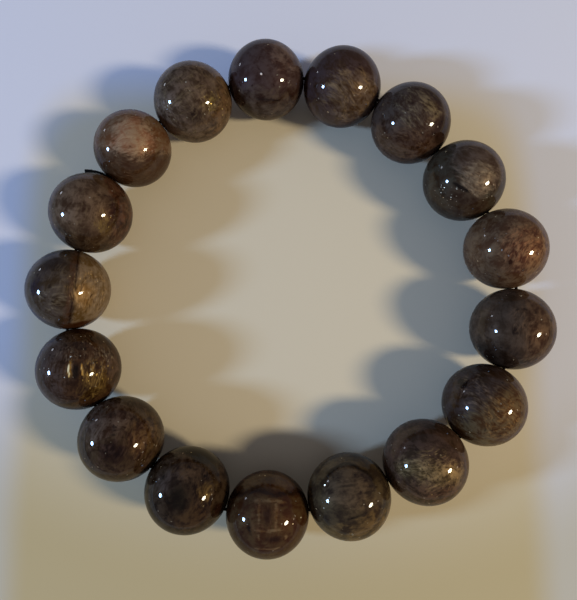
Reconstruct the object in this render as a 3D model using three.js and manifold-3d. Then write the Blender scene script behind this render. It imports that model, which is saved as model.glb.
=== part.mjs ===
// A stretch bracelet of seventeen polished round stone beads on a knotted elastic cord, lying flat.
// Millimetres, +Z up. The origin is on the surface it lies on, under the middle of the ring.
import * as THREE from "three";
import { mergeVertices } from "three/addons/utils/BufferGeometryUtils.js";
import Module from "manifold-3d";

const wasm = await Module();
wasm.setup();

// The beads in stringing order, clockwise seen from above. Each is hand ground, so its diameter
// differs a little, and it strays by so much outwards from a true circle.
const beads = [
  { diameter: 11.8, stray: 0.4, colour: "#4a3a36" },
  { diameter: 12.0, stray: 0.1, colour: "#5a4a3c" },
  { diameter: 12.1, stray: -0.7, colour: "#50423a" },
  { diameter: 12.1, stray: -1.1, colour: "#544a42" },
  { diameter: 12.1, stray: 0.7, colour: "#664e3a" },
  { diameter: 12.0, stray: 1.2, colour: "#4a3e36" },
  { diameter: 11.9, stray: 0.8, colour: "#544636" },
  { diameter: 12.1, stray: -0.5, colour: "#564636" },
  { diameter: 12.0, stray: -1.3, colour: "#504438" },
  { diameter: 11.9, stray: 0.1, colour: "#4c362a" },
  { diameter: 12.1, stray: 0.0, colour: "#3c2e24" },
  { diameter: 12.1, stray: 0.1, colour: "#4a382a" },
  { diameter: 11.9, stray: 0.5, colour: "#4e3624" },
  { diameter: 12.0, stray: 0.3, colour: "#664e36" },
  { diameter: 12.1, stray: -0.5, colour: "#5c4836" },
  { diameter: 11.6, stray: -0.2, colour: "#7c6250" },
  { diameter: 12.0, stray: 0.1, colour: "#605040" },
];
const firstBeadAngle = THREE.MathUtils.degToRad(96);
const beadGap = 0.1;
const beadSwings = 3;

// The drilled hole, and the small countersink at each of its mouths.
const boreRadius = 0.7;
const mouthRadius = 1.0;
const mouthDepth = 0.3;
const boreSides = 20;
const beadBands = 9; // odd, so that a flat band, and not an edge, runs round the middle

// The elastic cord, its rounded corners between beads, and the knot in one of those corners.
const cordRadius = 0.3;
const cordSides = 8;
const cordBend = 0.4; // how far from a corner the cord starts to bend
const knot = {
  afterBead: 15,
  heart: 0.5,
  turns: 2,
  turnRadius: 0.41,
  thread: 0.16,
  spacing: 0.34,
  lean: 0.3, // radians, one way and then the other
  sides: 12,
  threadSides: 6,
};

// The cord's cut end comes out between the two beads at the knot. Each point of its route is so far
// outwards from the knot, so far back beside the bead before the knot, and so far up.
const cutEnd = {
  route: [
    [0, 0, 0],
    [1.2, 0.04, 0.25],
    [2.25, 0.45, 0.5],
    [3.3, 1.08, 0.65],
  ],
  pinchedRadius: 0.2,
  freeRadius: 0.27,
  steps: 6,
};

const up = new THREE.Vector3(0, 0, 1);
const next = (i) => (i + 1) % beads.length;
const before = (i) => (i + beads.length - 1) % beads.length;

// The angle at the ring's centre between bead i and the next one, when they all but touch.
function step(i, ringRadius) {
  const a = ringRadius + beads[i].stray;
  const b = ringRadius + beads[next(i)].stray;
  const apart = (beads[i].diameter + beads[next(i)].diameter) / 2 + beadGap;
  return Math.acos((a * a + b * b - apart * apart) / (2 * a * b));
}

// The ring radius at which the string of beads just closes on itself, found by halving a range
// that starts at a circle as long as all the beads in line.
function closedRingRadius() {
  const length = beads.reduce((sum, bead) => sum + bead.diameter + beadGap, 0);
  let low = length / (2 * Math.PI);
  let high = 1.1 * low;
  while (high - low > 1e-6) {
    const middle = (low + high) / 2;
    const turn = beads.reduce((sum, bead, i) => sum + step(i, middle), 0);
    if (turn > 2 * Math.PI) low = middle;
    else high = middle;
  }
  return low;
}

function beadCentres() {
  const ringRadius = closedRingRadius();
  let angle = firstBeadAngle;
  return beads.map(({ diameter, stray }, i) => {
    const reach = ringRadius + stray;
    const centre = new THREE.Vector3(
      reach * Math.cos(angle),
      reach * Math.sin(angle),
      diameter / 2,
    );
    angle -= step(i, ringRadius);
    return centre;
  });
}

const centres = beadCentres();

const onwards = (from, to) => to.clone().sub(from).setZ(0).normalize();

// Where the cord crosses from each bead to the next: halfway between the mouths of their holes.
function crossings(holes) {
  const mouth = (i, side) =>
    centres[i].clone().addScaledVector(holes[i], (side * beads[i].diameter) / 2);
  return beads.map((bead, i) => mouth(i, 1).add(mouth(next(i), -1)).divideScalar(2));
}

// Each hole is level and lies in line with the beads on both sides, and then each bead swings a
// little, until its hole points along the taut cord.
let holes = beads.map((bead, i) => onwards(centres[before(i)], centres[next(i)]));
for (let swing = 0; swing < beadSwings; swing++) {
  const crossing = crossings(holes);
  holes = beads.map((bead, i) => onwards(crossing[before(i)], crossing[i]));
}
const cordCorners = crossings(holes);

// A bead is turned about its hole. Its middle band, and the flats round it, touch the true sphere
// from outside, so that it rests on a flat at its full radius.
function beadGeometry(diameter) {
  const radius = diameter / 2;
  const mouthAngle = Math.asin(mouthRadius / radius);
  const band = (Math.PI - 2 * mouthAngle) / beadBands;
  const cornerRadius = radius / Math.cos(band / 2);
  const mouthEnd = radius * Math.cos(mouthAngle);
  const outline = [
    new THREE.Vector2(boreRadius, mouthEnd - mouthDepth),
    new THREE.Vector2(boreRadius, mouthDepth - mouthEnd),
    new THREE.Vector2(mouthRadius, -mouthEnd),
  ];
  for (let i = 1; i < beadBands; i++) {
    const angle = mouthAngle + i * band;
    outline.push(
      new THREE.Vector2(cornerRadius * Math.sin(angle), -cornerRadius * Math.cos(angle)),
    );
  }
  outline.push(new THREE.Vector2(mouthRadius, mouthEnd));
  outline.push(outline[0].clone());
  const halfSide = Math.PI / boreSides;
  const flatsOutside = 1 / Math.cos(halfSide);
  const geometry = new THREE.LatheGeometry(outline, boreSides, -halfSide);
  geometry.scale(flatsOutside, 1, flatsOutside);
  geometry.rotateZ(-Math.PI / 2);
  return geometry;
}

function makeBead(i) {
  const material = new THREE.MeshStandardMaterial({
    color: beads[i].colour,
    roughness: 0.08,
    metalness: 0,
  });
  const bead = new THREE.Mesh(beadGeometry(beads[i].diameter), material);
  bead.name = "bead_" + String(i + 1).padStart(2, "0");
  bead.position.copy(centres[i]);
  bead.rotation.z = Math.atan2(holes[i].y, holes[i].x);
  return bead;
}

// The cord's centre line: straight from each corner to the next, and rounded off at the corner.
function cordStations() {
  const stations = [];
  cordCorners.forEach((corner, i) => {
    const into = onwards(cordCorners[before(i)], corner);
    const out = onwards(corner, cordCorners[next(i)]);
    const halfway = into.clone().add(out).normalize();
    const start = corner.clone().addScaledVector(into, -cordBend);
    const end = corner.clone().addScaledVector(out, cordBend);
    const middle = start.clone().add(end).addScaledVector(corner, 2).divideScalar(4);
    stations.push({ point: start, heading: into.add(halfway).normalize() });
    stations.push({ point: middle, heading: halfway });
    stations.push({ point: end, heading: out.add(halfway).normalize() });
  });
  return stations;
}

// A torus whose rings are moved onto the cord's centre line, so that the loop has no ends.
function cordLoopGeometry() {
  const stations = cordStations();
  const geometry = new THREE.TorusGeometry(1, cordRadius, cordSides, stations.length);
  const position = geometry.getAttribute("position");
  for (let v = 0; v < position.count; v++) {
    const { point, heading } = stations[v % (stations.length + 1) % stations.length];
    const inwards = new THREE.Vector3().crossVectors(heading, up);
    const across = Math.hypot(position.getX(v), position.getY(v)) - 1;
    const place = point.clone().addScaledVector(inwards, across);
    position.setXYZ(v, place.x, place.y, place.z + position.getZ(v));
  }
  return geometry;
}

// A three.js geometry as a solid that can be joined to another.
function solid(geometry) {
  const bare = geometry.clone();
  bare.deleteAttribute("normal");
  bare.deleteAttribute("uv");
  const merged = mergeVertices(bare, 1e-4);
  return new wasm.Manifold(
    new wasm.Mesh({
      numProp: 3,
      vertProperties: merged.getAttribute("position").array,
      triVerts: new Uint32Array(merged.index.array),
    }),
  );
}

// The knot: a round heart that the cord runs into, with a few turns wound round it.
function knotSolid(place, heading) {
  const along = new THREE.Quaternion().setFromUnitVectors(up, heading);
  const heart = new THREE.SphereGeometry(knot.heart, knot.sides, knot.sides / 2);
  heart.translate(...place.toArray());
  let whole = solid(heart);
  for (let i = 0; i < knot.turns; i++) {
    const turn = new THREE.TorusGeometry(knot.turnRadius, knot.thread, knot.threadSides, knot.sides);
    turn.rotateX((i % 2 ? -1 : 1) * knot.lean);
    turn.translate(0, 0, (i - (knot.turns - 1) / 2) * knot.spacing);
    turn.applyQuaternion(along);
    turn.translate(...place.toArray());
    whole = whole.add(solid(turn));
  }
  return whole;
}

// The cut end: a round bar bent along its route, thinner where the beads pinch it.
function cutEndSolid(place, heading) {
  const outwards = new THREE.Vector3().crossVectors(up, heading);
  const route = new THREE.CatmullRomCurve3(
    cutEnd.route.map(([out, back, rise]) =>
      place
        .clone()
        .addScaledVector(outwards, out)
        .addScaledVector(heading, -back)
        .addScaledVector(up, rise),
    ),
  );
  const { freeRadius, pinchedRadius, steps } = cutEnd;
  const bar = new THREE.CylinderGeometry(freeRadius, pinchedRadius, 1, cordSides, steps);
  const position = bar.getAttribute("position");
  for (let v = 0; v < position.count; v++) {
    const share = position.getY(v) + 0.5;
    const point = route.getPoint(share);
    const side = new THREE.Vector3().crossVectors(route.getTangent(share), up).normalize();
    const top = new THREE.Vector3().crossVectors(side, route.getTangent(share));
    point.addScaledVector(side, position.getX(v)).addScaledVector(top, position.getZ(v));
    position.setXYZ(v, point.x, point.y, point.z);
  }
  return solid(bar);
}

function makeCord() {
  const tiedAt = knot.afterBead - 1;
  const place = cordCorners[tiedAt];
  const heading = holes[tiedAt].clone().add(holes[next(tiedAt)]).normalize();
  const { vertProperties, triVerts } = solid(cordLoopGeometry())
    .add(knotSolid(place, heading))
    .add(cutEndSolid(place, heading))
    .getMesh();
  const geometry = new THREE.BufferGeometry();
  geometry.setAttribute("position", new THREE.BufferAttribute(vertProperties, 3));
  geometry.setIndex(new THREE.BufferAttribute(triVerts, 1));
  geometry.computeVertexNormals();
  const material = new THREE.MeshStandardMaterial({
    color: "#101214",
    roughness: 0.6,
    metalness: 0,
  });
  const cord = new THREE.Mesh(geometry, material);
  cord.name = "elastic_cord";
  return cord;
}

const ring = new THREE.Group();
beads.forEach((bead, i) => ring.add(makeBead(i)));
ring.add(makeCord());

// The ring is set down with the middle of its box over the origin.
const box = new THREE.Box3().setFromObject(ring, true);
ring.position.set(-(box.min.x + box.max.x) / 2, -(box.min.y + box.max.y) / 2, -box.min.z);

const bracelet = new THREE.Group();
bracelet.add(ring);

export default bracelet;
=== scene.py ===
# A bracelet of seventeen polished stone beads on a knotted black elastic cord, lying flat.
import math
import bpy
from mathutils import Matrix, Quaternion, Vector


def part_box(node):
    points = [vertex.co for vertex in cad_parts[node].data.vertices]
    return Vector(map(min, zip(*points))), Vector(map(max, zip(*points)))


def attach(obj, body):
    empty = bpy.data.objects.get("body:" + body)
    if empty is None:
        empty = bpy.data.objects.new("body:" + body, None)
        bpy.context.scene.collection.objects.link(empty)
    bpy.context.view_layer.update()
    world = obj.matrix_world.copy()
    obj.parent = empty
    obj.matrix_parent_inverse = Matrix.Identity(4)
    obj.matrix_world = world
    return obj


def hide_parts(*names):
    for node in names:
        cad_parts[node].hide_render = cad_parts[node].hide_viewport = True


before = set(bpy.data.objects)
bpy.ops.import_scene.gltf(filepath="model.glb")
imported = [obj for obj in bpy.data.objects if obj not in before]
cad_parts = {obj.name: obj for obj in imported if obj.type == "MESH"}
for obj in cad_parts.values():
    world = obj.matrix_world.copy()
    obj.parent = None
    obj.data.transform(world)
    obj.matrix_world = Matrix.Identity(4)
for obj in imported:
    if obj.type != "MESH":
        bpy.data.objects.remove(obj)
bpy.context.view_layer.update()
mm = 0.001
up = Vector((0, 0, 1))


def toLinear(colour):  # an sRGB hex colour as linear red, green, blue and alpha
    parts = [int(colour[i:i + 2], 16) / 255 for i in (1, 3, 5)]
    return [c / 12.92 if c <= 0.04045 else ((c + 0.055) / 1.055) ** 2.4 for c in parts] + [1]


def addNode(tree, kind, inputs=None, **settings):  # one node, its settings, and what each input is given
    node = tree.nodes.new("ShaderNode" + kind)
    for name, value in settings.items():
        setattr(node, name, value)
    for socket, value in (inputs or {}).items():
        if isinstance(value, bpy.types.NodeSocket):
            tree.links.new(value, node.inputs[socket])
        else:
            node.inputs[socket].default_value = value
    return node


def newMaterial(name):  # a material, its nodes and its Principled shader
    material = bpy.data.materials.new(name)
    material.use_nodes = True
    return material, material.node_tree, material.node_tree.nodes["Principled BSDF"]


def finishPiece(piece, material, node):  # the piece takes the CAD node's place
    piece.data.materials.clear()
    piece.data.materials.append(material)
    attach(piece, "root")
    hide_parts(node)


# The camera looks down on the ring from a little nearer than its middle. Its tilt is in degrees.
camera = {"lens": 29.8, "place": (0, -9.4 * mm, 80.55 * mm), "tilt": (5.735, 0.1, 0), "clipStart": 1 * mm}

bpy.ops.object.camera_add(location=camera["place"], rotation=[math.radians(a) for a in camera["tilt"]])
bpy.context.scene.camera = bpy.context.object
bpy.context.object.data.lens = camera["lens"]
bpy.context.object.data.clip_start = camera["clipStart"]
viewpoint = Vector(camera["place"])
print("camera placed")

# Lamps: a warm one on the right, a cool one on the left, and two weak ones low down that only add small
# sparks to the gloss. The spread is how wide each looks from the ring, in degrees.
lamps = {
    "warmLamp": {"towards": (0.77, -0.245, 0.59), "spread": 9.5, "watts": 2.0, "colour": "#fff4d4",
                 "long": 1.6, "turn": -41},
    "coolLamp": {"towards": (-0.88, -0.14, 0.45), "spread": 8, "watts": 2.3, "colour": "#a2caff"},
    "smallLamp": {"towards": (-0.83, 0.54, 0.13), "spread": 5, "watts": 0.06, "colour": "#e6ecff"},
    "lowRightLamp": {"towards": (0.95, -0.17, 0.25), "spread": 3.5, "watts": 0.02, "colour": "#ffe2c0"},
}
studio = {"lampDistance": 0.6, "airColour": "#d6dcee", "airStrength": 0.2}


def makeLamp(name, lamp):
    direction = Vector(lamp["towards"]).normalized()
    facing = direction.to_track_quat("Z", "Y") @ Quaternion((0, 0, 1), math.radians(lamp.get("turn", 0)))
    distance = studio["lampDistance"]
    bpy.ops.object.light_add(type="AREA", location=direction * distance, rotation=facing.to_euler())
    light = bpy.context.object
    light.name = name
    light.data.shape = "ELLIPSE"
    across = 2 * distance * math.tan(math.radians(lamp["spread"] / 2))
    long = lamp.get("long", 1)
    light.data.size = across * math.sqrt(long)
    light.data.size_y = across / math.sqrt(long)
    light.data.energy = lamp["watts"]
    light.data.color = toLinear(lamp["colour"])[:3]
    light.visible_camera = False


for name, lamp in lamps.items():
    makeLamp(name, lamp)

world = bpy.data.worlds.new("studio")
world.use_nodes = True
air = world.node_tree.nodes["Background"]
air.inputs["Color"].default_value = toLinear(studio["airColour"])
air.inputs["Strength"].default_value = studio["airStrength"]
bpy.context.scene.world = world
bpy.context.scene.view_settings.view_transform = "Standard"
print("lamps placed")

# Floor: a pale board whose colour carries painted light. A softly edged cream square is a painted pool of
# warm light, the bluish white around it is painted cool light, and far from one spot beyond the ring the
# board turns darker and warmer, a painted falloff of the lamps.
floorLook = {
    "size": 3.0,
    "white": "#f1eef9",
    "cream": "#eddcc0",
    "warmPoolMiddle": (-2.1 * mm, -26.7 * mm, 0),
    "warmPoolReach": (41.5 * mm, 61 * mm, 1),
    "warmPoolEdge": 0.08,
    "falloffShade": "#e2dabf",
    "falloffCentre": (4 * mm, 59 * mm, 0),
    "falloffReach": (80 * mm, 108 * mm),
    "tooth": 0.3 * mm,  # coarser than a real one, so that it shows
    "toothDepth": 0.05 * mm,
    "toothStrength": 0.1,
    "roughness": 0.9,
    "gloss": 0.2,
}


def makeFloor():  # uncoated paper board: matt and dull, with a fine tooth
    look = floorLook
    bpy.ops.object.select_all(action="DESELECT")
    bpy.ops.mesh.primitive_plane_add(size=look["size"])
    floor = bpy.context.object
    floor.name = "floor"
    material, tree, shader = newMaterial("paperBoard")
    place = addNode(tree, "TexCoord").outputs["Object"]

    away = addNode(tree, "VectorMath", {0: place, 1: look["warmPoolMiddle"]}, operation="SUBTRACT")
    away = addNode(tree, "VectorMath", {0: away.outputs[0], 1: look["warmPoolReach"]}, operation="DIVIDE")
    for squaring in range(3):  # eighth powers, so that the cream is almost square
        away = addNode(tree, "VectorMath", {0: away.outputs[0], 1: away.outputs[0]}, operation="MULTIPLY")
    away = addNode(tree, "VectorMath", {0: away.outputs[0], 1: (1, 1, 0)}, operation="DOT_PRODUCT")
    away = addNode(tree, "Math", {0: away.outputs["Value"], 1: 1 / 8}, operation="POWER")
    edge = addNode(tree, "MapRange", {
        "Value": away.outputs[0], "From Min": 1 - look["warmPoolEdge"], "From Max": 1 + look["warmPoolEdge"],
    }, interpolation_type="SMOOTHSTEP")
    # painted light: cream inside the painted warm pool, bluish white where painted cool light falls
    poolColour = addNode(tree, "Mix", {
        "Factor": edge.outputs["Result"], "A": toLinear(look["cream"]), "B": toLinear(look["white"]),
    }, data_type="RGBA")

    # painted falloff of the lamps: darker and warmer far from the falloff centre
    far = addNode(tree, "VectorMath", {0: place, 1: look["falloffCentre"]}, operation="DISTANCE")
    paintedFalloff = addNode(tree, "MapRange", {
        "Value": far.outputs["Value"], "From Min": look["falloffReach"][0], "From Max": look["falloffReach"][1],
    }, interpolation_type="SMOOTHSTEP")
    colour = addNode(tree, "Mix", {
        "Factor": paintedFalloff.outputs["Result"], "A": poolColour.outputs["Result"], "B": toLinear(look["falloffShade"]),
    }, data_type="RGBA", blend_type="MULTIPLY")

    tooth = addNode(tree, "TexNoise", {"Vector": place, "Scale": 1 / look["tooth"], "Detail": 2})
    bump = addNode(tree, "Bump", {
        "Height": tooth.outputs["Fac"], "Strength": look["toothStrength"], "Distance": look["toothDepth"]})
    tree.links.new(colour.outputs["Result"], shader.inputs["Base Color"])
    tree.links.new(bump.outputs["Normal"], shader.inputs["Normal"])
    shader.inputs["Roughness"].default_value = look["roughness"]
    shader.inputs["Specular IOR Level"].default_value = look["gloss"]
    floor.data.materials.append(material)


makeFloor()
print("floor laid")

# The beads' places and the directions of their holes, from the frame
nodeNames = sorted(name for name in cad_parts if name.startswith("bead_"))
corners = [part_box(name) for name in nodeNames]
centres = [(low + high) / 2 for low, high in corners]
radii = [(high.z - low.z) / 2 for low, high in corners]
count = len(nodeNames)
beadSwings = 3  # how often the beads are turned onto the taut cord
knotAt = 14  # the knot comes after this bead, counted from 0, and is drawn into the mouths on both sides


def level(vector):
    return Vector((vector.x, vector.y, 0)).normalized()


def crossings(holes):  # where the cord passes from each bead to the next
    points = []
    for i in range(count):
        j = (i + 1) % count
        points.append((centres[i] + holes[i] * radii[i] + centres[j] - holes[j] * radii[j]) / 2)
    return points


holes = [level(centres[(i + 1) % count] - centres[i - 1]) for i in range(count)]
for swing in range(beadSwings):
    cordCorners = crossings(holes)
    holes = [level(cordCorners[i] - cordCorners[i - 1]) for i in range(count)]
cordCorners = crossings(holes)

# Beads: ground and polished balls with a hole mouth at each end. A mouth is its radius and its depth.
# Known fault: the balls are open shells, without the walls of their bores. The edge that a cut leaves isn't
# quite at the mouth's radius, so it isn't where the bridge looks for it once it is drawn in. At most mouths
# the next ring of the ball is drawn in with it, as a thin collar.
beadShape = {
    "segments": 96,
    "rings": 64,
    "boreRadius": 0.5 * mm,
    "mouth": (0.56 * mm, 0.05 * mm),
    "knotMouth": (0.95 * mm, 0.3 * mm),
    "lip": 0.02 * mm,
    "lipSegments": 3,
    "lipAngle": 25,  # edges sharper than this are rounded, in degrees
    "slit": 0.01 * mm,  # what is left open between neighbours
    "snap": 0.001 * mm,
    "nearby": 0.01 * mm,
    "weld": 0.0001 * mm,
}


def selectWhere(mesh, test):  # in edit mode: the vertices whose places pass the test
    bpy.ops.mesh.select_all(action="DESELECT")
    bpy.ops.object.mode_set(mode="OBJECT")
    for vertex in mesh.vertices:
        vertex.select = test(vertex.co)
    bpy.ops.object.mode_set(mode="EDIT")


def makeBead(name, centre, radius, hole, ends):  # ends: each side's growth, mouth radius and mouth depth
    shape = beadShape
    bpy.ops.object.select_all(action="DESELECT")
    bpy.ops.mesh.primitive_uv_sphere_add(
        segments=shape["segments"], ring_count=shape["rings"], radius=radius)
    bead = bpy.context.object
    bead.name = name
    bpy.ops.object.mode_set(mode="EDIT")
    bpy.ops.mesh.select_mode(type="VERT")
    boreEnds = []
    for side, (growth, mouthRadius, mouthDepth) in zip((1, -1), ends):  # cap cut off, its edge drawn in
        mouthHeight = math.sqrt(radius ** 2 - mouthRadius ** 2)
        bpy.ops.mesh.select_all(action="SELECT")
        bpy.ops.mesh.bisect(
            plane_co=(0, 0, side * mouthHeight), plane_no=(0, 0, side), clear_outer=True,
            threshold=shape["snap"])
        selectWhere(bead.data, lambda place: abs(place.z - side * mouthHeight) < shape["nearby"])
        bpy.ops.mesh.extrude_region_move()
        bpy.ops.transform.translate(value=(0, 0, -side * mouthDepth))
        shrink = shape["boreRadius"] / mouthRadius
        bpy.ops.transform.resize(value=(shrink, shrink, 1))
        boreEnds.append(side * (mouthHeight - mouthDepth))
    selectWhere(bead.data, lambda place: (
        abs(math.hypot(place.x, place.y) - shape["boreRadius"]) < shape["snap"]
        and min(abs(place.z - end) for end in boreEnds) < shape["snap"]))
    bpy.ops.mesh.bridge_edge_loops()  # meant as the wall of the bore: nothing is picked, and no wall is made
    for side, (growth, mouthRadius, mouthDepth) in zip((1, -1), ends):  # so that neighbours all but touch
        selectWhere(bead.data, lambda place: place.z * side > 0)
        bpy.ops.transform.resize(value=(1, 1, 1 + growth / radius), center_override=(0, 0, 0))
    bpy.ops.mesh.select_all(action="SELECT")
    bpy.ops.mesh.remove_doubles(threshold=shape["weld"])
    bpy.ops.mesh.normals_make_consistent(inside=False)
    bpy.ops.object.mode_set(mode="OBJECT")
    bevel = bead.modifiers.new("lips", "BEVEL")
    bevel.width = shape["lip"]
    bevel.segments = shape["lipSegments"]
    bevel.limit_method = "ANGLE"
    bevel.angle_limit = math.radians(shape["lipAngle"])
    bpy.ops.object.modifier_apply(modifier=bevel.name)
    bpy.ops.object.shade_smooth()
    bead.matrix_world = Matrix.Translation(centre) @ hole.to_track_quat("Z", "Y").to_matrix().to_4x4()
    bpy.ops.object.transform_apply()
    return bead


def beadEnd(contact):  # how a bead ends at a contact, of which number 0 comes after the first bead
    j = (contact + 1) % count
    gap = (centres[j] - centres[contact]).length - radii[j] - radii[contact]
    mouth = beadShape["knotMouth"] if contact == knotAt else beadShape["mouth"]
    return ((gap - beadShape["slit"]) / 2, *mouth)


# Stone: each bead was cut from another piece of rough, so each has its own look.
# Places and sizes in a look are in radii of the bead, rightwards and upwards from the middle of the side
# that faces up to the eye. Turns are in degrees, anticlockwise. Fibres, clouds, spacings and the sizes of
# mottles are in mm. A zone is a ball, a ring, a whole side or a band across the bead. "drawn" makes a zone
# longer along a turn, and "within" keeps a mark to a ball around a place.
# Real needles are a few hundredths of a millimetre thick. They are drawn about five times as coarse, so
# that they show.
stoneShared = {
    "waveSize": 4.5 * mm,  # slow bends of the whole pattern
    "waveReach": 1.1 * mm,
    "curlSize": 1.1 * mm,  # quick bends on top of them
    "curlReach": 0.22 * mm,
    "steadyCurl": 0.4,  # how much of the quick bends the sharp marks follow
    "noiseRoughness": 0.6,
    "grain": 0.3 * mm,
    "grainStretch": 2,
    "patch": 2.2 * mm,
    "patchEdge": (0.4, 0.6),
    "patchBusy": (0.1, 0.9),  # how much of a look's grain is in the calm patches and in the busy ones
    "cloudWeight": 1.6,
    "contrast": 0.27,
    "fraying": 2,  # how far the fibres move the edge of a zone
    "withinEdge": 0.6,
    "needleStretch": 3.5,
    "needleWidth": 0.8,
    "needleEdge": (0.4, 0.75),
    "bundle": 1.1 * mm,
    "bundleStretch": 2,
    "bundleEdge": (0.35, 0.65),
    "mottleEdge": (0.02, -0.12),
    "mottleStrength": 0.6,
    "sparkle": {"spacing": 0.6, "size": 0.15, "share": 0.25, "colour": "#c9b698", "patchy": True},
    "sparkleEdge": (0.5, 0.6),
    "glintEdge": (1.3, 0.7),
    "glintStretch": 1.5,
    "glintLean": 0.7,
    "glintRoughness": 0.3,
    "roughness": 0.46,
    "lustre": 0.16,  # the silky glow of the fibres below the surface
    "edgeTint": "#8c8478",
    "relief": 0.02 * mm,
    "reliefStrength": 0.5,
    "ior": 1.54,  # of quartz
    "coat": 0.5,
    "coatRoughness": 0.015,
}


def paleBar(spot, drawn, size=0.03):  # one of the short pale streaks that cross each other in bead_10
    return {"ball": spot, "size": size, "edge": 0.05, "drawn": drawn, "dark": "#5b3b1d", "light": "#745e44"}


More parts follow.
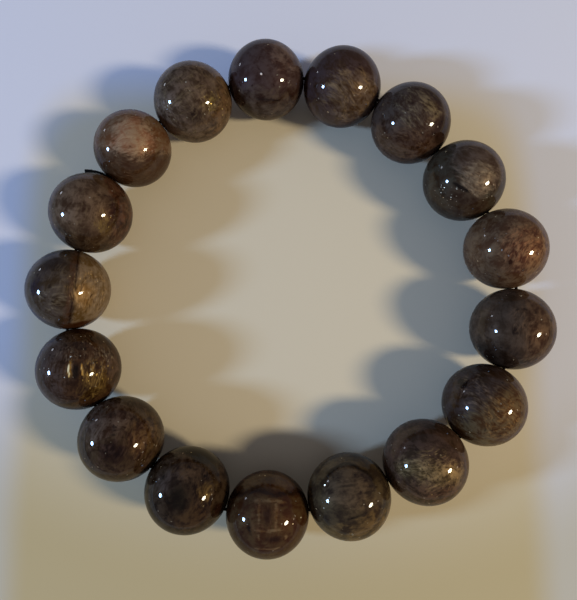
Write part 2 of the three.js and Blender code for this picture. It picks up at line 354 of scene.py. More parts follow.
beadLooks = {
    "bead_01": {  # plum-brown, almost plain, with one painted pinpoint highlight
        "dark": "#37221d", "light": "#4c3b38", "cloud": 1.6, "silk": 0.4, "busy": 0.4,
        "fibre": 0.5, "stretch": 2, "turn": 15,
        "zones": [
            {"ball": (0.5, 0.62), "size": 0.42, "edge": 0.3, "dark": "#372019", "light": "#6b574f"},
            {"side": -90, "from": 0.2, "edge": 0.3, "dark": "#2c180f", "light": "#554439"},
            {"band": -82, "from": 0.42, "width": 0.05, "edge": 0.08, "dark": "#1e0f0a", "light": "#211612",
             "within": (0.05, -0.42, 0.4)},
            # painted highlight: a tiny near-white pinpoint, a lamp's spark painted into the colour
            {"ball": (-0.17, 0.12), "size": 0.022, "edge": 0.01, "dark": "#ebc8b2", "light": "#f9fcfd"},
        ],
        "needles": [
            {"turn": -10, "spacing": 0.35, "strength": 0.4, "colour": "#755143", "within": (0.3, 0.7, 0.6)},
        ],
        "mottles": [{"size": 0.8, "share": 0.3, "colour": "#210f0c"}],
    },
    "bead_02": {  # brown, with slanting olive-gold fibres and some painted sheen
        "dark": "#392419", "light": "#453331", "cloud": 1.4, "silk": 0.7, "busy": 1.0,
        "fibre": 0.35, "stretch": 3.5, "turn": -40,
        # partly lighter stone, partly painted sheen: the fibres' silky shine under the warm lamp
        "zones": [{"ball": (0.3, -0.25), "size": 0.6, "edge": 0.4, "dark": "#422c1a", "light": "#614e42"}],
        "needles": [
            {"turn": -42, "spacing": 0.8, "strength": 0.4, "colour": "#9f7f57", "within": (0.15, -0.15, 0.9)},
            {"turn": -42, "spacing": 0.35, "strength": 0.3, "colour": "#af8f66",
             "within": (0.25, -0.1, 0.85)},
        ],
        "mottles": [{"size": 0.7, "share": 0.3, "colour": "#1f110b"}],
    },
    "bead_03": {  # dark grey-brown streaks, and one gold streak
        "dark": "#352218", "light": "#4d3e35", "cloud": 1.4, "silk": 0.7, "busy": 0.9,
        "fibre": 0.35, "stretch": 4, "turn": -48,
        "zones": [
            {"side": -100, "from": 0.15, "edge": 0.35, "dark": "#371f11", "light": "#553f32"},
            {"ball": (0.5, 0.34), "size": 0.12, "edge": 0.3, "drawn": (-50, 1.8),
             "dark": "#4a3722", "light": "#7f6c50"},
            {"ball": (0.6, 0.55), "size": 0.08, "edge": 0.12, "drawn": (-40, 3),
             "dark": "#28160d", "light": "#30221e"},
            {"ball": (0.75, -0.25), "size": 0.3, "edge": 0.2, "dark": "#241308", "light": "#322119"},
        ],
        "needles": [
            {"turn": -50, "spacing": 0.35, "strength": 0.6, "colour": "#8a795e", "within": (0.1, 0.45, 0.7)},
            {"turn": -20, "spacing": 0.35, "strength": 0.5, "colour": "#806245",
             "within": (-0.1, -0.55, 0.7)},
        ],
        "mottles": [{"size": 0.7, "share": 0.35, "colour": "#1c120e"}],
    },
    "bead_04": {  # smoky, with a pale plume that ends at a crack; the plume is partly painted sheen
        "dark": "#342417", "light": "#443b2e", "cloud": 1.5, "silk": 0.5, "busy": 0.25,
        "fibre": 0.42, "stretch": 5, "turn": -25,
        "zones": [
            {"ball": (0.45, 0.5), "size": 0.7, "edge": 0.3, "dark": "#3f2b1c", "light": "#5c4a3f"},
            # the pale plume by the warm highlight: partly lighter stone, partly painted sheen
            {"ball": (0.32, 0.02), "size": 0.4, "edge": 0.3, "dark": "#554131", "light": "#84715c"},
            {"side": -123, "from": 0.14, "edge": 0.06, "dark": "#332014", "light": "#4a3a2c",
             "within": (0.1, -0.5, 0.75)},
            {"ball": (-0.1, -0.12), "size": 0.035, "edge": 0.06, "drawn": (-34, 5),
             "dark": "#190f09", "light": "#20170f"},
            {"ball": (0.04, -0.19), "size": 0.035, "edge": 0.04, "drawn": (-37, 9),
             "dark": "#150d08", "light": "#1c130d"},
        ],
        "needles": [
            # pale needles in the plume: partly fibres, partly painted sheen
            {"turn": -30, "spacing": 0.35, "strength": 0.45, "colour": "#c09f7b", "within": (0.3, 0.05, 0.5)},
            {"turn": -20, "spacing": 0.35, "strength": 0.5, "colour": "#7a6551", "within": (0.1, 0.55, 0.6)},
        ],
        "mottles": [{"size": 0.8, "share": 0.2, "colour": "#1b110a"}],
        "glints": [
            {"spacing": 0.3, "size": 0.2, "share": 0.3, "colour": "#f7ddbc", "within": (-0.4, -0.27, 0.38)},
        ],
    },
    "bead_05": {  # grey-brown on the left, warm orange-brown on the right, partly a painted glow round the warm highlight
        "dark": "#4f321f", "light": "#6f553e", "cloud": 1.4, "silk": 0.6, "busy": 0.9,
        "fibre": 0.35, "stretch": 2.2, "turn": 50,
        "zones": [
            # partly warmer stone, partly a painted glow round the warm highlight
            {"ball": (0.42, 0.0), "size": 0.55, "edge": 0.4, "dark": "#4b2819", "light": "#856042"},
            {"ball": (0.02, -0.3), "size": 0.07, "edge": 0.06, "dark": "#260c04", "light": "#351a0a"},
        ],
        "needles": [
            {"turn": 48, "spacing": 0.45, "strength": 0.5, "colour": "#ce8a5c", "within": (0.35, 0.1, 0.55)},
            {"turn": 36, "spacing": 0.33, "strength": 0.9, "colour": "#35140a", "within": (0.52, 0.08, 0.27)},
        ],
        "mottles": [{"size": 0.6, "share": 0.3, "colour": "#2e160b"}],
        "glints": [
            {"spacing": 0.5, "size": 0.15, "share": 0.4, "colour": "#cdc4ba", "within": (-0.1, 0.1, 0.35)},
        ],
    },
    "bead_06": {  # near black, upright bands
        "dark": "#3a291c", "light": "#554234", "cloud": 1.6, "silk": 0.5, "busy": 0.4,
        "fibre": 0.4, "stretch": 3.5, "turn": 80,
        "zones": [
            {"side": -100, "from": 0.5, "edge": 0.3, "dark": "#22150d", "light": "#392a20"},
            {"side": 0, "from": 0.3, "edge": 0.3, "dark": "#372113", "light": "#624935"},
            {"ball": (0.02, -0.03), "size": 0.1, "edge": 0.1, "dark": "#170a05", "light": "#241711"},
        ],
        "needles": [
            {"turn": 62, "spacing": 0.36, "strength": 0.5, "colour": "#89684d", "within": (0.35, 0.2, 0.55)},
        ],
        "mottles": [{"size": 0.9, "share": 0.4, "colour": "#180d08"}],
    },
    "bead_07": {  # dark grey above, slanting olive-gold below, partly painted sheen
        "dark": "#362213", "light": "#453630", "cloud": 1.5, "silk": 0.7, "busy": 0.8,
        "fibre": 0.35, "stretch": 4, "turn": -32,
        "zones": [
            # partly olive-gold stone, partly painted sheen round the warm highlight
            {"side": -50, "from": 0.0, "edge": 0.4, "dark": "#46280f", "light": "#675237"},
            {"ball": (-0.5, 0.45), "size": 0.14, "edge": 0.1, "dark": "#1a0c03", "light": "#1e1613"},
        ],
        "needles": [
            {"turn": -30, "spacing": 0.35, "strength": 0.6, "colour": "#93755c", "within": (-0.15, 0.4, 0.6)},
            {"turn": -34, "spacing": 0.35, "strength": 0.6, "colour": "#ae814b", "within": (0.4, -0.3, 0.65)},
        ],
        "mottles": [{"size": 0.7, "share": 0.35, "colour": "#1a110a"}],
    },
    "bead_08": {  # dark above, an olive-grey belt that is partly painted sheen, brown with dark dots below
        "dark": "#382619", "light": "#543d30", "cloud": 1.3, "silk": 0.6, "busy": 0.9,
        "fibre": 0.36, "stretch": 2.5, "turn": -15,
        "zones": [
            # the olive-grey belt: partly stone, partly painted sheen under the warm lamp
            {"band": -95, "from": 0.22, "width": 0.42, "edge": 0.3, "dark": "#44331b", "light": "#8b704c",
             "within": (0.15, -0.2, 0.95)},
            {"side": -88, "from": 0.5, "edge": 0.25, "dark": "#352210", "light": "#62452f"},
        ],
        "needles": [
            # golden needles near the warm highlight: partly fibres, partly painted sheen
            {"turn": 20, "spacing": 0.35, "strength": 0.6, "colour": "#ba9562", "within": (0.2, -0.15, 0.6)},
        ],
        "mottles": [
            {"size": 0.45, "share": 0.6, "colour": "#21140a", "within": (0.1, -0.6, 0.7)},
            {"size": 0.8, "share": 0.3, "colour": "#1f130d"},
        ],
        "glints": [
            {"spacing": 0.6, "size": 0.14, "share": 0.3, "colour": "#d7a966", "within": (0.3, -0.2, 0.7)},
        ],
    },
    "bead_09": {  # grey-olive, with dark arcs; the upper one is the edge of a painted reflection
        "dark": "#312419", "light": "#55442e", "cloud": 1.8, "silk": 0.5, "busy": 0.4,
        "fibre": 0.4, "stretch": 3.5, "turn": 8,
        "zones": [
            {"ball": (-0.05, 0.3), "size": 0.55, "edge": 0.2, "dark": "#2f2118", "light": "#644f39"},
            # painted reflection: the dark upper arc is the edge of the lit floor's reflection
            {"ring": (0.0, 0.02), "size": 0.7, "width": 0.11, "edge": 0.09,
             "dark": "#120a07", "light": "#271e17", "within": (-0.1, 0.65, 0.8)},
            {"ball": (-0.05, 0.2), "size": 0.02, "edge": 0.05, "drawn": (8, 14),
             "dark": "#21150e", "light": "#36281c"},
            {"side": -70, "from": 0.47, "edge": 0.1, "dark": "#352617", "light": "#6f5634"},
            {"ball": (0.26, -0.4), "size": 0.02, "edge": 0.05, "drawn": (20, 15),
             "dark": "#0c0603", "light": "#1c130a"},
        ],
        "needles": [
            {"turn": 8, "spacing": 0.5, "strength": 0.3, "colour": "#79624b", "within": (0.0, 0.35, 0.6)},
        ],
        "mottles": [{"size": 0.9, "share": 0.05, "colour": "#241a11"}],
        "glints": [
            {"spacing": 0.6, "size": 0.15, "share": 0.35, "colour": "#d3c1a8", "within": (-0.5, 0.1, 0.3)},
            {"spacing": 0.6, "size": 0.14, "share": 0.3, "colour": "#d3bd93", "within": (0.0, -0.6, 0.5)},
        ],
    },
    "bead_10": {  # red-brown, banded both ways; the light top and the dark band under it are partly a painted reflection
        "dark": "#3b1f0f", "light": "#4f3922", "cloud": 1.6, "silk": 0.5, "busy": 0.6,
        "fibre": 0.4, "stretch": 3, "turn": 0,
        "zones": [
            # partly reddish-tan stone, partly a painted reflection of the lit floor, with its dark edge below
            {"side": 90, "from": 0.55, "edge": 0.2, "dark": "#381e0e", "light": "#543c28"},
            {"band": 90, "from": 0.45, "width": 0.12, "edge": 0.1, "dark": "#241106", "light": "#302018"},
            paleBar((-0.2, 0.02), (90, 13)), paleBar((-0.2, -0.5), (90, 13)), paleBar((0.2, 0.02), (90, 10)),
            paleBar((-0.15, 0.27), (0, 18)), paleBar((0.3, 0.22), (0, 10)),
            paleBar((0.15, -0.36), (0, 13), size=0.028), paleBar((0.15, -0.74), (0, 15)),
            paleBar((0.42, -0.5), (90, 9), size=0.028),
            {"ball": (0.0, -0.03), "size": 0.08, "edge": 0.08, "drawn": (90, 2.4),
             "dark": "#251006", "light": "#392317"},
            {"ball": (0.14, -0.55), "size": 0.07, "edge": 0.08, "drawn": (0, 3),
             "dark": "#251006", "light": "#392317"},
            {"ball": (-0.42, -0.3), "size": 0.04, "edge": 0.08, "drawn": (90, 6),
             "dark": "#1b0d06", "light": "#241710"},
        ],
        "needles": [
            {"turn": 90, "spacing": 0.5, "strength": 0.3, "colour": "#7b563c", "within": (0.0, -0.1, 0.6)},
        ],
        "mottles": [{"size": 0.6, "share": 0.2, "colour": "#190c06"}],
    },
    "bead_11": {  # very dark, blotched; a painted glow round the warm highlight and painted shade at the top
        "dark": "#1c0e05", "light": "#3e2e20", "cloud": 1.3, "silk": 0.5, "busy": 0.7,
        "fibre": 0.6, "stretch": 1.6, "turn": 60,
        "zones": [
            {"ball": (-0.15, 0.6), "size": 0.45, "edge": 0.3, "dark": "#28170b", "light": "#564232"},
            {"ball": (-0.45, 0.2), "size": 0.2, "edge": 0.3, "dark": "#281a12", "light": "#514138"},
            {"ball": (0.1, -0.68), "size": 0.4, "edge": 0.3, "dark": "#271609", "light": "#4a3520"},
            {"ball": (-0.2, -0.2), "size": 0.2, "edge": 0.2, "drawn": (90, 1.4),
             "dark": "#140b04", "light": "#271d12"},
            # painted glow round the warm highlight
            {"ball": (0.42, -0.05), "size": 0.16, "edge": 0.25, "dark": "#32210d", "light": "#644d2c"},
            {"ball": (0.7, -0.42), "size": 0.15, "edge": 0.15, "dark": "#130603", "light": "#27140b"},
            # painted shade: the top is darkened to hold down the floor's reflection there
            {"ball": (0.35, 0.85), "size": 0.5, "edge": 0.2, "dark": "#100704", "light": "#251a0f"},
        ],
        "needles": [
            {"turn": 80, "spacing": 0.4, "strength": 0.45, "colour": "#715742", "within": (0.2, 0.35, 0.4)},
            {"turn": 60, "spacing": 0.4, "strength": 0.35, "colour": "#715639", "within": (-0.25, 0.55, 0.5)},
        ],
        "mottles": [{"size": 1.2, "share": 0.35, "colour": "#0f0704"}],
        "glints": [
            {"spacing": 0.5, "size": 0.15, "share": 0.25, "colour": "#a68e60", "within": (0.52, -0.2, 0.35)},
        ],
    },
    "bead_12": {  # brown, with mauve-grey clouding
        "dark": "#2a180b", "light": "#463422", "cloud": 1.3, "silk": 0.5, "busy": 0.8,
        "fibre": 0.45, "stretch": 2, "turn": 75,
        "zones": [
            {"ball": (-0.35, 0.5), "size": 0.5, "edge": 0.4, "dark": "#331d0e", "light": "#614e41"},
            {"ball": (0.45, 0.05), "size": 0.35, "edge": 0.4, "dark": "#331c0b", "light": "#61472c"},
            {"ball": (-0.2, -0.3), "size": 0.25, "edge": 0.3, "dark": "#170704", "light": "#2b190f"},
        ],
        "needles": [{"turn": 70, "spacing": 0.5, "strength": 0.25, "colour": "#7c5f52"}],
        "mottles": [{"size": 0.8, "share": 0.4, "colour": "#150b06"}],
        "glints": [
            {"spacing": 0.5, "size": 0.15, "share": 0.4, "colour": "#bc9772", "within": (0.5, -0.4, 0.3)},
            {"spacing": 0.8, "size": 0.12, "share": 0.2, "colour": "#9a7b66", "within": (-0.1, 0.55, 0.5)},
        ],
    },
    "bead_13": {  # dark brown, with upright golden glitter, its brightest streaks partly painted glints
        "dark": "#2a170a", "light": "#472f1d", "cloud": 1.4, "silk": 0.8, "busy": 0.9,
        "fibre": 0.36, "stretch": 3.5, "turn": 90,
        "zones": [
            {"side": 180, "from": 0.4, "edge": 0.25, "dark": "#352216", "light": "#4a3a33"},
            {"ball": (0.3, -0.3), "size": 0.3, "edge": 0.4, "dark": "#36230d", "light": "#5a4322"},
            {"ball": (0.75, 0.05), "size": 0.2, "edge": 0.2, "dark": "#402b1b", "light": "#594234"},
            {"ball": (-0.08, -0.08), "size": 0.07, "edge": 0.06, "drawn": (90, 2.5),
             "dark": "#160b05", "light": "#20140b"},
            {"ball": (-0.21, -0.06), "size": 0.04, "edge": 0.06, "drawn": (90, 5),
             "dark": "#6a4514", "light": "#a07632"},
            # bright cores of the golden streaks: partly gold inclusions, partly painted glints
            {"ball": (-0.24, 0.02), "size": 0.02, "edge": 0.02, "drawn": (90, 5),
             "dark": "#e8b95c", "light": "#fff2c8"},
            {"ball": (-0.22, -0.15), "size": 0.022, "edge": 0.02, "drawn": (84, 3.5),
             "dark": "#e8b95c", "light": "#fff2c8"},
            {"ball": (0.04, 0.05), "size": 0.018, "edge": 0.02, "drawn": (90, 5),
             "dark": "#c08c3a", "light": "#eacb88"},
            {"ball": (0.06, -0.1), "size": 0.016, "edge": 0.02, "drawn": (90, 4),
             "dark": "#9a6c26", "light": "#cfa866"},
        ],
        "needles": [
            {"turn": 90, "spacing": 0.35, "strength": 0.6, "colour": "#c09a5a", "within": (0.3, -0.05, 0.4)},
            {"turn": 80, "spacing": 0.3, "strength": 0.5, "colour": "#b08c4c", "within": (0.35, -0.4, 0.4)},
            {"turn": 90, "spacing": 0.36, "strength": 0.5, "colour": "#a08a70", "within": (0.5, 0.3, 0.4)},
            {"turn": 88, "spacing": 0.36, "strength": 0.4, "colour": "#8f7a66", "within": (-0.15, 0.45, 0.6)},
            {"turn": 88, "spacing": 0.36, "strength": 0.35, "colour": "#7f6c5e",
             "within": (-0.55, -0.05, 0.5)},
        ],
        "mottles": [{"size": 0.6, "share": 0.5, "colour": "#190d05"}],
        "glints": [
            {"spacing": 0.42, "size": 0.2, "share": 0.35, "colour": "#e5b860", "stretch": 2, "turn": 90,
             "within": (0.38, -0.25, 0.5)},
            {"spacing": 0.45, "size": 0.17, "share": 0.3, "colour": "#d8c4a2", "stretch": 2, "turn": 90,
             "within": (0.2, 0.45, 0.6)},
            {"spacing": 0.45, "size": 0.17, "share": 0.3, "colour": "#d8c8b0", "within": (-0.5, 0.1, 0.5)},
        ],
    },
    "bead_14": {  # dark left half, golden right half with a painted glow round the warm highlight, a dark seam between
        "dark": "#3a2a1a", "light": "#51443b", "cloud": 1.4, "silk": 0.6, "busy": 0.6,
        "fibre": 0.36, "stretch": 5, "turn": 84,
        "zones": [
            {"ball": (-0.45, 0.6), "size": 0.28, "edge": 0.4, "dark": "#281b14", "light": "#392e2a"},
            {"ball": (-0.75, 0.0), "size": 0.2, "edge": 0.2, "dark": "#271a12", "light": "#30262b"},
            {"side": -4, "straight": True, "from": 0.14, "edge": 0.1, "dark": "#614726", "light": "#856e57"},
            # partly golden stone, partly a painted glow round the warm highlight
            {"ball": (0.34, -0.1), "size": 0.25, "edge": 0.3, "dark": "#7a562a", "light": "#a18059"},
            {"band": -5, "from": 0.04, "straight": True, "width": 0.12, "edge": 0.16,
             "dark": "#482d19", "light": "#553f34"},
            {"band": -5, "from": 0.1, "straight": True, "width": 0.03, "edge": 0.06,
             "dark": "#291405", "light": "#23120b"},
            {"side": -80, "from": 0.8, "edge": 0.1, "dark": "#41210c", "light": "#4b2d1b"},
        ],
        "needles": [
            {"turn": 86, "spacing": 0.4, "strength": 0.6, "colour": "#c8a06f", "within": (0.45, 0.05, 0.7)},
            {"turn": 84, "spacing": 0.3, "strength": 0.9, "colour": "#3e2712", "within": (0.6, 0.0, 0.55)},
            {"turn": 10, "spacing": 0.45, "strength": 0.6, "colour": "#94836a",
             "within": (-0.35, -0.25, 0.4)},
            {"turn": 80, "spacing": 0.45, "strength": 0.4, "colour": "#7c6a53", "within": (-0.1, 0.3, 0.5)},
        ],
        "mottles": [{"size": 0.9, "share": 0.55, "colour": "#1d130d", "within": (-0.5, 0.0, 0.6)}],
        "glints": [
            {"spacing": 0.6, "size": 0.14, "share": 0.25, "colour": "#e9c283", "within": (0.4, 0.1, 0.6)},
            {"spacing": 0.5, "size": 0.17, "share": 0.3, "colour": "#ddaa6b", "within": (0.0, -0.05, 0.35)},
        ],
    },
    "bead_15": {  # grey-brown with a painted olive glow round the warm highlight, darker towards the right
        "dark": "#422d1d", "light": "#634c39", "cloud": 1.6, "silk": 0.4, "busy": 0.4,
        "fibre": 0.5, "stretch": 1.8, "turn": 70,
        "zones": [
            {"ball": (-0.3, 0.25), "size": 0.5, "edge": 0.4, "dark": "#392416", "light": "#705947"},
            {"side": -95, "from": 0.5, "edge": 0.35, "dark": "#2a190d", "light": "#483320"},
            {"side": 5, "from": 0.4, "edge": 0.2, "dark": "#2a1409", "light": "#583726"},
            {"ring": (0.0, 0.05), "size": 0.62, "width": 0.08, "edge": 0.12,
             "dark": "#221209", "light": "#3d2919", "within": (0.62, 0.1, 0.55)},
            # painted glow round the warm highlight
            {"ball": (0.3, -0.2), "size": 0.2, "edge": 0.3, "dark": "#3a2414", "light": "#765e38"},
        ],
        "needles": [{"turn": 75, "spacing": 0.4, "strength": 0.4, "colour": "#7f684e"}],
        "mottles": [{"size": 0.9, "share": 0.25, "colour": "#22150b"}],
        "glints": [
            {"spacing": 0.5, "size": 0.15, "share": 0.35, "colour": "#cba55a", "within": (0.3, -0.2, 0.3)},
        ],
    },
    "bead_16": {  # a pale pinkish cloud, partly painted sheen, over darker banded brown
        "dark": "#422816", "light": "#4e3929", "cloud": 1.6, "silk": 0.7, "busy": 0.6,
        "fibre": 0.4, "stretch": 3.5, "turn": 16,
        "zones": [
            {"side": 92, "from": -0.05, "edge": 0.2, "dark": "#623d24", "light": "#735a44"},
            # the pale cloud and the pale needles in it: partly stone, partly painted sheen
            {"ball": (-0.05, 0.35), "size": 0.5, "edge": 0.35, "dark": "#895a40", "light": "#9c7f65"},
        ],
        "needles": [
            {"turn": 32, "spacing": 0.38, "strength": 0.5, "colour": "#bfa080", "within": (0.0, 0.35, 0.7)},
            {"turn": 2, "spacing": 0.38, "strength": 0.5, "colour": "#7d5f45", "within": (-0.1, -0.5, 0.7)},
        ],
        "mottles": [{"size": 0.7, "share": 0.3, "colour": "#22130b"}],
    },
    "bead_17": {  # finely mottled grey-brown, with gold specks and a painted olive glow at the right
        "dark": "#3b291c", "light": "#645042", "cloud": 1.2, "silk": 0.5, "busy": 0.7,
        "fibre": 0.5, "stretch": 1.5, "turn": -50,
        "zones": [
            {"side": -5, "from": 0.55, "edge": 0.3, "dark": "#3c2714", "light": "#694d35"},
            # painted glow round the warm highlight
            {"ball": (0.45, 0.05), "size": 0.16, "edge": 0.3, "dark": "#48361b", "light": "#79663c"},
            {"ball": (0.0, -0.25), "size": 0.2, "edge": 0.2, "dark": "#23140b", "light": "#39281d"},
            {"ball": (-0.7, -0.15), "size": 0.16, "edge": 0.2, "dark": "#564333", "light": "#7e6b5e"},
        ],
        "needles": [
            {"turn": 40, "spacing": 0.5, "strength": 0.35, "colour": "#988060"},
            {"turn": -45, "spacing": 0.4, "strength": 0.25, "colour": "#988060"},
        ],
        "mottles": [{"size": 0.6, "share": 0.3, "colour": "#1d100a"}],
        "glints": [
            {"spacing": 0.5, "size": 0.17, "share": 0.4, "colour": "#caab64", "within": (0.5, -0.05, 0.45)},
            {"spacing": 0.6, "size": 0.15, "share": 0.3, "colour": "#d2c6af", "within": (-0.6, -0.3, 0.5)},
        ],
    },
}


def onBall(right, above):  # a point on the unit ball's near side
    return (right, above, math.sqrt(max(0.0, 1 - right ** 2 - above ** 2)))


def makeStone(name, look, centre, radius):  # polished quartz: a hard clear gloss over clouds and fibres
    shared = stoneShared
    material, tree, shader = newMaterial(name)

    def node(kind, output, inputs, **settings):
        return addNode(tree, kind, inputs, **settings).outputs[output]

    def reckon(operation, *values):
        return node("Math", 0, dict(enumerate(values)), operation=operation)

    def ramp(value, low, high):  # 0 at low, 1 at high, softly
        return node("MapRange", "Result", {
            "Value": value, "From Min": low, "From Max": high}, interpolation_type="SMOOTHSTEP")

    def noise(place, size, detail=4):  # 0.5 on average, features about this large
        return node("TexNoise", "Fac", {
            "Vector": place, "Scale": radius / size, "Detail": detail,
            "Roughness": shared["noiseRoughness"]})

    def stir(place, size, reach):  # moves the pattern about, so that nothing in it is straight
        swirl = node("TexNoise", "Color", {"Vector": place, "Scale": radius / size, "Detail": 1})
        centred = node("VectorMath", 0, {0: swirl, 1: (0.5, 0.5, 0.5)}, operation="SUBTRACT")
        push = 2 * reach / radius
        return node("VectorMath", 0, {0: centred, 1: (push,) * 3, 2: place}, operation="MULTIPLY_ADD")

    def onSphere(place):
        return node("VectorMath", 0, {0: place}, operation="NORMALIZE")

    def drawnOut(place, turn, stretch):  # the pattern drawn out along a turn
        return node("Mapping", "Vector", {
            "Vector": place, "Rotation": (0, 0, math.radians(turn)), "Scale": (stretch, 1, 1),
        }, vector_type="TEXTURE")

    def paint(under, mask, over):
        return node("Mix", "Result", {"Factor": mask, "A": under, "B": over}, data_type="RGBA")

    def shades(entry):  # between the entry's two shades, by the tone of the ground
        return paint(toLinear(entry["dark"]), tone, toLinear(entry["light"]))

    def keepWithin(entry, mask):  # keeps a mask to the ball that "within" gives, by its place and size
        if "within" not in entry:
            return mask
        *spot, size = entry["within"]
        gap = node("VectorMath", "Value", {0: drifting, 1: onBall(*spot)}, operation="DISTANCE")
        return reckon("MULTIPLY", mask, ramp(gap, size, shared["withinEdge"] * size))

    towards = (viewpoint - centre).normalized()
    right = Vector((0, 1, 0)).cross(towards).normalized()
    axes = Matrix((right, towards.cross(right), towards)).transposed()
    place = node("Mapping", "Vector", {
        "Vector": node("TexCoord", "Object", {}),
        "Location": centre,
        "Rotation": axes.to_euler(),
        "Scale": (radius,) * 3,
    }, vector_type="TEXTURE")
    wavy = stir(place, shared["waveSize"], shared["waveReach"])
    curly = stir(wavy, shared["curlSize"], shared["curlReach"])
    drifting = onSphere(wavy)
    steady = onSphere(stir(place, shared["curlSize"], shared["steadyCurl"] * shared["curlReach"]))

    # body: clouds, fibres and grain, between the look's two shades
    fibres = noise(drawnOut(curly, look["turn"], look["stretch"]), look["fibre"] * mm, 2)
    clouds = noise(curly, look["cloud"] * mm)
    grain = noise(drawnOut(curly, look["turn"], shared["grainStretch"]), shared["grain"], 2)
    patches = noise(wavy, shared["patch"], 1)
    busy = node("MapRange", "Result", {
        "Value": patches, "From Min": shared["patchEdge"][0], "From Max": shared["patchEdge"][1],
        "To Min": shared["patchBusy"][0] * look["busy"], "To Max": shared["patchBusy"][1] * look["busy"]})
    clouds = reckon("MULTIPLY", clouds, shared["cloudWeight"])
    tone = reckon("MULTIPLY_ADD", fibres, look["silk"], clouds)
    tone = reckon("MULTIPLY_ADD", reckon("SUBTRACT", grain, 0.5), busy, tone)
    middle = 0.5 * (shared["cloudWeight"] + look["silk"])
    tone = ramp(tone, middle - shared["contrast"], middle + shared["contrast"])
    colour = shades(look)

    # zones: parts of the bead with shades of their own, as balls, rings, whole sides or bands; some of them
    # are painted light: highlights, glows, sheen and reflections
    for zone in look["zones"]:
        if "ball" in zone or "ring" in zone:
            spot = onBall(*(zone.get("ball") or zone["ring"]))
            ground = steady if "drawn" in zone else drifting
            offset = node("VectorMath", 0, {0: ground, 1: spot}, operation="SUBTRACT")
            offset = drawnOut(offset, *zone.get("drawn", (0, 1)))
            gap = node("VectorMath", "Value", {0: offset}, operation="LENGTH")
            depth = reckon("SUBTRACT", zone["size"], gap)
        else:
            turn = math.radians(zone["side"] if "side" in zone else zone["band"])
            ground = steady if zone.get("straight") else wavy
            across = (math.cos(turn), math.sin(turn), 0)
            along = node("VectorMath", "Value", {0: ground, 1: across}, operation="DOT_PRODUCT")
            depth = reckon("SUBTRACT", along, zone["from"])
        if "width" in zone:
            depth = reckon("SUBTRACT", zone["width"] / 2, reckon("ABSOLUTE", depth))
        edge = zone["edge"]  # fraying adds one edge on average, so the ramp is centred there
        frayed = reckon("MULTIPLY_ADD", fibres, shared["fraying"] * edge, depth)
        colour = paint(colour, keepWithin(zone, ramp(frayed, 0.5 * edge, 1.5 * edge)), shades(zone))

    # needles: fine bright threads in bundles
    for needles in look["needles"]:
        thread = drawnOut(wavy, needles["turn"], shared["needleStretch"])
        threads = noise(thread, shared["needleWidth"] * needles["spacing"] * mm, 2)
        bundles = noise(drawnOut(wavy, needles["turn"], shared["bundleStretch"]), shared["bundle"], 2)
        threads = ramp(threads, *shared["needleEdge"])
        mask = keepWithin(needles, reckon("MULTIPLY", threads, ramp(bundles, *shared["bundleEdge"])))
        mask = reckon("MULTIPLY", mask, needles["strength"])
        colour = paint(colour, mask, toLinear(needles["colour"]))

    # mottles: dark spots without a sharp edge
    for mottles in look["mottles"]:
        spots = noise(curly, mottles["size"] * mm, 1)
        top = 0.5 - 0.25 * (1 - mottles["share"])
        mask = keepWithin(mottles, ramp(spots, *(top + edge for edge in shared["mottleEdge"])))
        mask = reckon("MULTIPLY", mask, shared["mottleStrength"])
        colour = paint(colour, mask, toLinear(mottles["colour"]))

    # glints: flat flecks that lean every way and shine like mica
    normal = node("NewGeometry", "Normal", {})
    metal = 0.0
    for glint in [shared["sparkle"]] + look.get("glints", []):
        lie = drawnOut(wavy, glint.get("turn", look["turn"]), glint.get("stretch", shared["glintStretch"]))
        scale = radius / (glint["spacing"] * mm)
        cells = addNode(tree, "TexVoronoi", {"Vector": lie, "Scale": scale}).outputs
        mask = ramp(cells["Distance"], *(edge * glint["size"] for edge in shared["glintEdge"]))
        lot = node("SeparateColor", "Red", {"Color": cells["Color"]})
        mask = reckon("MULTIPLY", mask, reckon("LESS_THAN", lot, glint["share"]))
        if glint.get("patchy"):
            mask = reckon("MULTIPLY", mask, ramp(patches, *shared["sparkleEdge"]))
        mask = keepWithin(glint, mask)
        colour = paint(colour, mask, toLinear(glint["colour"]))
        lean = node("VectorMath", 0, {0: cells["Color"], 1: (0.5, 0.5, 0.5)}, operation="SUBTRACT")
        leaning = node("VectorMath", 0, {
            0: lean, "Scale": reckon("MULTIPLY", mask, shared["glintLean"])}, operation="SCALE")
        normal = node("VectorMath", 0, {0: leaning, 1: normal}, operation="ADD")
        metal = reckon("MAXIMUM", mask, metal)

    relief = node("Bump", 0, {
        "Height": fibres, "Strength": shared["reliefStrength"], "Distance": shared["relief"],
        "Normal": onSphere(normal)})
    lustre = node("MapRange", "Result", {"Value": metal, "To Min": shared["lustre"], "To Max": 1})
    rough = node("MapRange", "Result", {
        "Value": metal, "To Min": shared["roughness"], "To Max": shared["glintRoughness"]})
    tree.links.new(colour, shader.inputs["Base Color"])
    tree.links.new(relief, shader.inputs["Normal"])
    tree.links.new(lustre, shader.inputs["Metallic"])
    tree.links.new(rough, shader.inputs["Roughness"])
    shader.inputs["Specular IOR Level"].default_value = 0
    shader.inputs["Specular Tint"].default_value = toLinear(shared["edgeTint"])
    shader.inputs["Coat Weight"].default_value = shared["coat"]
    shader.inputs["Coat Roughness"].default_value = shared["coatRoughness"]
    shader.inputs["Coat IOR"].default_value = shared["ior"]
    return material


for i, name in enumerate(nodeNames):
    ends = [beadEnd(i), beadEnd(i - 1)]
    bead = makeBead(name.replace("bead_", "stoneBead"), centres[i], radii[i], holes[i], ends)
    stone = makeStone(name.replace("bead_", "polishedQuartz"), beadLooks[name], centres[i], radii[i])
    finishPiece(bead, stone, name)
print("beads made")

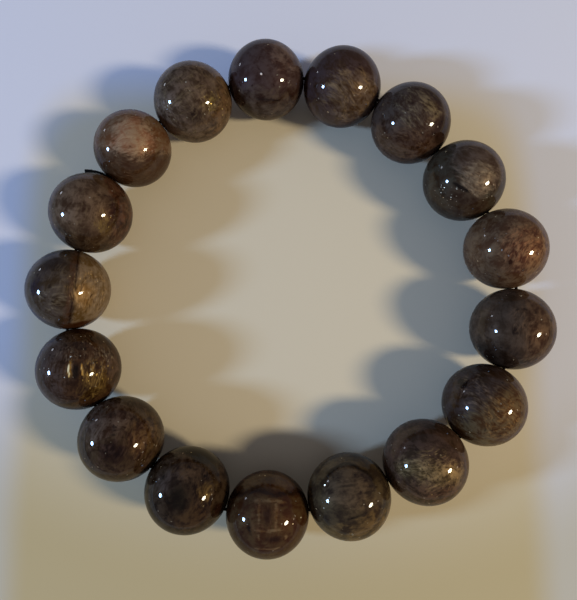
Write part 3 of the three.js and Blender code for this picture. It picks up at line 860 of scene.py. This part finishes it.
# Cord: one loop of round elastic, its knot, and the cut end that lies on the next bead. Each point of
# the tail is so far outwards from the knot, so far back beside the bead before it, and so far up. These
# and the tail's radii are in mm.
cordLook = {
    "radius": 0.22 * mm,
    "pressed": 0.25 * mm,  # towards the ring's middle, as a taut cord is
    "bend": 0.4 * mm,
    "section": 4,
    "steps": 12,
    "turns": 2.5,
    "turnRadius": 0.4 * mm,
    "turnLean": 0.3,
    "thread": 0.15 * mm,
    "pitch": 0.3 * mm,
    "tuckedShare": 6,  # one part in this many of the knot is drawn in at each end
    "knotPoints": 40,
    "tail": [(0, 0, 0), (1.2, 0.04, 0.25), (2.25, 0.45, 0.5), (2.5, 0.6, 0.54), (3.3, 1.08, 0.65)],
    "tailRadii": [0.19, 0.19, 0.2, 0.27, 0.275],
    "colour": "#0a0a0b",
    "roughness": 0.6,
    "gloss": 0.1,
    "weave": 0.12 * mm,  # as coarse as two threads of the sleeve, so that it shows
    "weaveDepth": 0.04 * mm,
    "weaveStrength": 0.4,
}


def curvePiece(name, thickness):  # a round curve in space with closed ends
    curve = bpy.data.curves.new(name, "CURVE")
    curve.dimensions = "3D"
    curve.bevel_depth = thickness
    curve.bevel_resolution = cordLook["section"]
    curve.resolution_u = cordLook["steps"]
    curve.use_fill_caps = True
    piece = bpy.data.objects.new(name, curve)
    bpy.context.collection.objects.link(piece)
    return piece


def makeLoop():  # straight through every bead, along the inner side of its hole, because it is taut
    piece = curvePiece("elasticLoop", cordLook["radius"])
    spline = piece.data.splines.new("BEZIER")
    spline.bezier_points.add(2 * count - 1)
    spline.use_cyclic_u = True
    bend = cordLook["bend"]
    middle = sum(cordCorners, Vector()) / count
    for i in range(count):
        j = (i + 1) % count
        corner = cordCorners[i] + level(middle - cordCorners[i]) * cordLook["pressed"]
        for k, way, side in ((2 * i, holes[i], -1), (2 * i + 1, holes[j], 1)):
            point = spline.bezier_points[k]
            point.co = corner + way * side * bend
            point.handle_left = point.co - way * bend / 2
            point.handle_right = point.co + way * bend / 2
    return piece


def makeKnot(corner, along):  # turns of the cord drawn tight around it
    look = cordLook
    piece = curvePiece("elasticKnot", look["thread"])
    side = up.cross(along).normalized()
    spline = piece.data.splines.new("POLY")
    spline.points.add(look["knotPoints"])
    for k, point in enumerate(spline.points):
        part = k / look["knotPoints"]
        angle = math.tau * look["turns"] * part
        tuck = min(1, look["tuckedShare"] * part, look["tuckedShare"] * (1 - part))
        reach = look["turnRadius"] * tuck
        lift = look["pitch"] * look["turns"] * (part - 0.5)
        place = corner + along * (lift + look["turnLean"] * reach * math.sin(angle))
        place += side * reach * math.cos(angle) + up * reach * math.sin(angle)
        point.co = (*place, 1)
    return piece


def makeTail(corner, along):  # the cut end, pinched at the beads and swollen where it is free
    look = cordLook
    piece = curvePiece("elasticTail", 1)
    outward = up.cross(along).normalized()
    spline = piece.data.splines.new("BEZIER")
    spline.bezier_points.add(len(look["tail"]) - 1)
    for point, (out, back, lift), radius in zip(spline.bezier_points, look["tail"], look["tailRadii"]):
        point.co = corner + (outward * out - along * back + up * lift) * mm
        point.handle_left_type = "AUTO"
        point.handle_right_type = "AUTO"
        point.radius = radius * mm
    return piece


def makeElastic():  # black elastic in a fine woven sleeve: matt, with a faint silky sheen
    look = cordLook
    material, tree, shader = newMaterial("blackWovenElastic")
    place = addNode(tree, "TexCoord").outputs["Object"]
    weave = addNode(tree, "TexNoise", {"Vector": place, "Scale": 1 / look["weave"], "Detail": 2})
    bump = addNode(tree, "Bump", {
        "Height": weave.outputs["Fac"], "Strength": look["weaveStrength"], "Distance": look["weaveDepth"]})
    tree.links.new(bump.outputs["Normal"], shader.inputs["Normal"])
    shader.inputs["Base Color"].default_value = toLinear(look["colour"])
    shader.inputs["Roughness"].default_value = look["roughness"]
    shader.inputs["Specular IOR Level"].default_value = look["gloss"]
    return material


def makeCord():
    along = (holes[knotAt] + holes[(knotAt + 1) % count]).normalized()
    pieces = [makeLoop(), makeKnot(cordCorners[knotAt], along), makeTail(cordCorners[knotAt], along)]
    bpy.ops.object.select_all(action="DESELECT")
    for piece in pieces:
        piece.select_set(True)
    bpy.context.view_layer.objects.active = pieces[0]
    bpy.ops.object.convert(target="MESH")
    bpy.ops.object.join()
    cord = bpy.context.object
    cord.name = "elasticCord"
    bpy.ops.object.shade_smooth()
    bpy.ops.object.transform_apply(location=True, rotation=True, scale=True)
    return cord


finishPiece(makeCord(), makeElastic(), "elastic_cord")
print("cord made")
